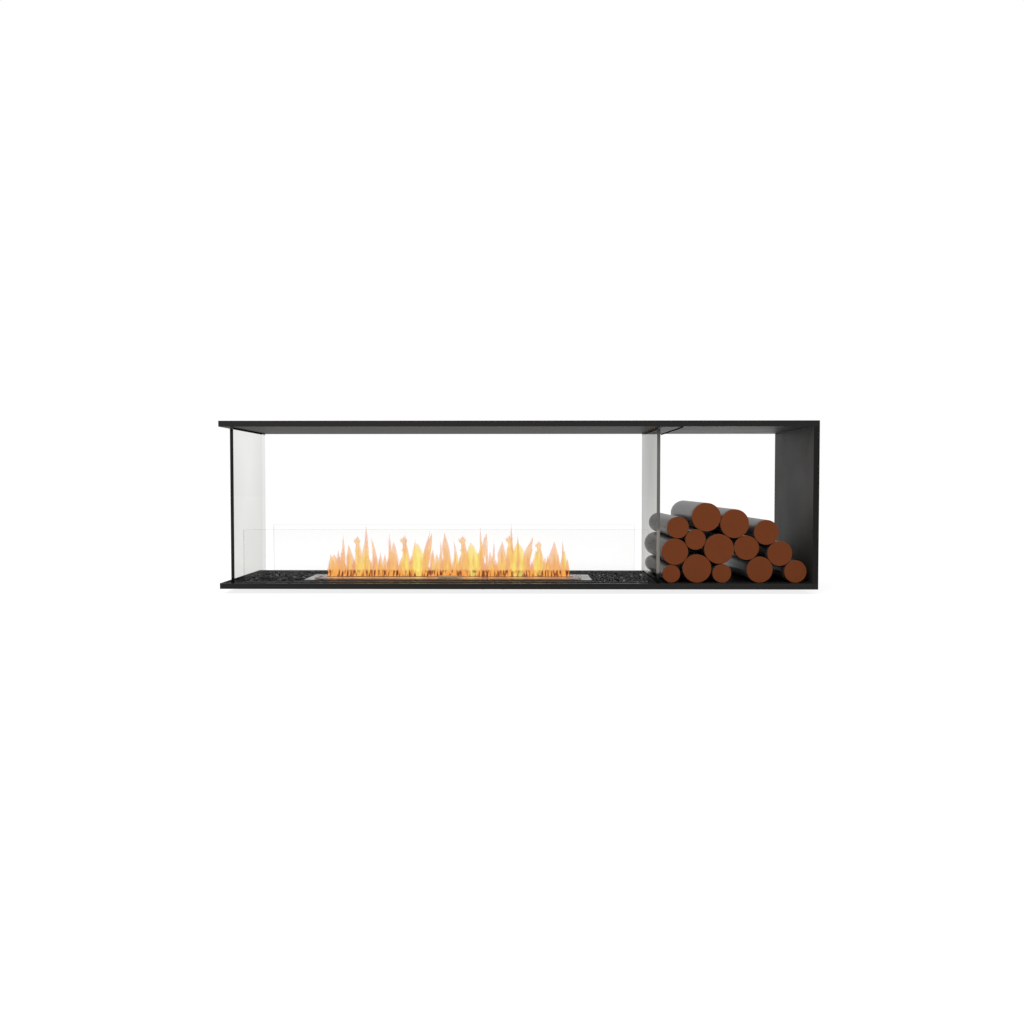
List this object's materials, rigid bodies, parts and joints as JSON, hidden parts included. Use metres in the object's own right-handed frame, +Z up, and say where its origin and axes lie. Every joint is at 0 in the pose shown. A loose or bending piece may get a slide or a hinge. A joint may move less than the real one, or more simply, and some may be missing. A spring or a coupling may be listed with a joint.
{
  "type": "bioethanol fireplace insert",
  "caption": "Long see-through bioethanol fireplace insert: a linear burner between glass panes beside an open log bay, under one thin canopy.",
  "frame": {"origin": "middle of the footprint, on the surface that the plinth rails stand on", "axes": "+X along the body towards the log bay, +Y from the front face to the back face, +Z up"},
  "size_m": [1.788, 0.41, 0.518],
  "materials": {
    "black_powder_coat": "satin",
    "grey_lining": "satin",
    "galvanised_steel": "matte",
    "toughened_glass": "polished",
    "brushed_stainless": "brushed",
    "rubber_pad": "matte",
    "clear_seal": "satin",
    "heat_board": "matte",
    "ceramic_wool": "matte",
    "crushed_black_glass": "glossy",
    "log_finish": "matte"
  },
  "bodies": {
    "root": {"plinth_rails": "black_powder_coat", "plinth_cross_bars": "black_powder_coat", "fire_base_tray": "black_powder_coat", "log_base_shell": "black_powder_coat", "log_base_bottom": "black_powder_coat", "log_base_stiffeners": "galvanised_steel", "fire_floor_plate": "black_powder_coat", "burner_seat_angles": "galvanised_steel", "left_glass": "toughened_glass", "divider_glass": "toughened_glass", "left_lower_channel": "black_powder_coat", "divider_lower_channel": "black_powder_coat", "left_upper_channel": "black_powder_coat", "divider_upper_channel": "black_powder_coat", "glass_setting_pads": "rubber_pad", "glass_edge_stops": "clear_seal", "front_screen_channel": "black_powder_coat", "rear_screen_channel": "black_powder_coat", "screen_seals": "clear_seal", "fire_canopy_shell": "black_powder_coat", "fire_canopy_lining": "grey_lining", "log_canopy_shell": "black_powder_coat", "log_canopy_lining": "grey_lining", "canopy_stiffeners": "galvanised_steel", "canopy_heat_boards": "heat_board", "joint_cover_plate": "grey_lining", "side_outer_panel": "black_powder_coat", "side_inner_panel": "grey_lining", "side_posts": "galvanised_steel", "module_bolts": "galvanised_steel", "canopy_screws": "black_powder_coat", "side_screws": "black_powder_coat", "crushed_glass_left": "crushed_black_glass", "crushed_glass_right": "crushed_black_glass", "crushed_glass_front": "crushed_black_glass", "crushed_glass_rear": "crushed_black_glass", "log_01": "log_finish", "log_02": "log_finish", "log_03": "log_finish", "log_04": "log_finish", "log_05": "log_finish", "log_06": "log_finish", "log_07": "log_finish", "log_08": "log_finish", "log_09": "log_finish", "log_10": "log_finish", "log_11": "log_finish", "log_12": "log_finish", "log_13": "log_finish", "log_14": "log_finish"},
    "burner": {"burner_top_plate": "brushed_stainless", "slot_ring": "brushed_stainless", "fuel_box": "brushed_stainless", "ceramic_wick": "ceramic_wool", "wick_retainer": "brushed_stainless", "shutter_runners": "brushed_stainless"},
    "shutter": {"shutter_plate": "brushed_stainless", "shutter_grip": "brushed_stainless"},
    "front_windscreen": {"front_screen": "toughened_glass"},
    "rear_windscreen": {"rear_screen": "toughened_glass"}
  },
  "joints": [
    {"name": "burner_lift", "type": "slide", "parent": "root", "child": "burner", "axis": [0, 0, 1], "range_m": [0, 0.12]},
    {"name": "shutter_slide", "type": "slide", "parent": "burner", "child": "shutter", "axis": [0, 1, 0], "range_m": [0, 0.051]},
    {"name": "front_screen_lift", "type": "slide", "parent": "root", "child": "front_windscreen", "axis": [0, 0, 1], "range_m": [0, 0.16]},
    {"name": "rear_screen_lift", "type": "slide", "parent": "root", "child": "rear_windscreen", "axis": [0, 0, 1], "range_m": [0, 0.16]}
  ]
}
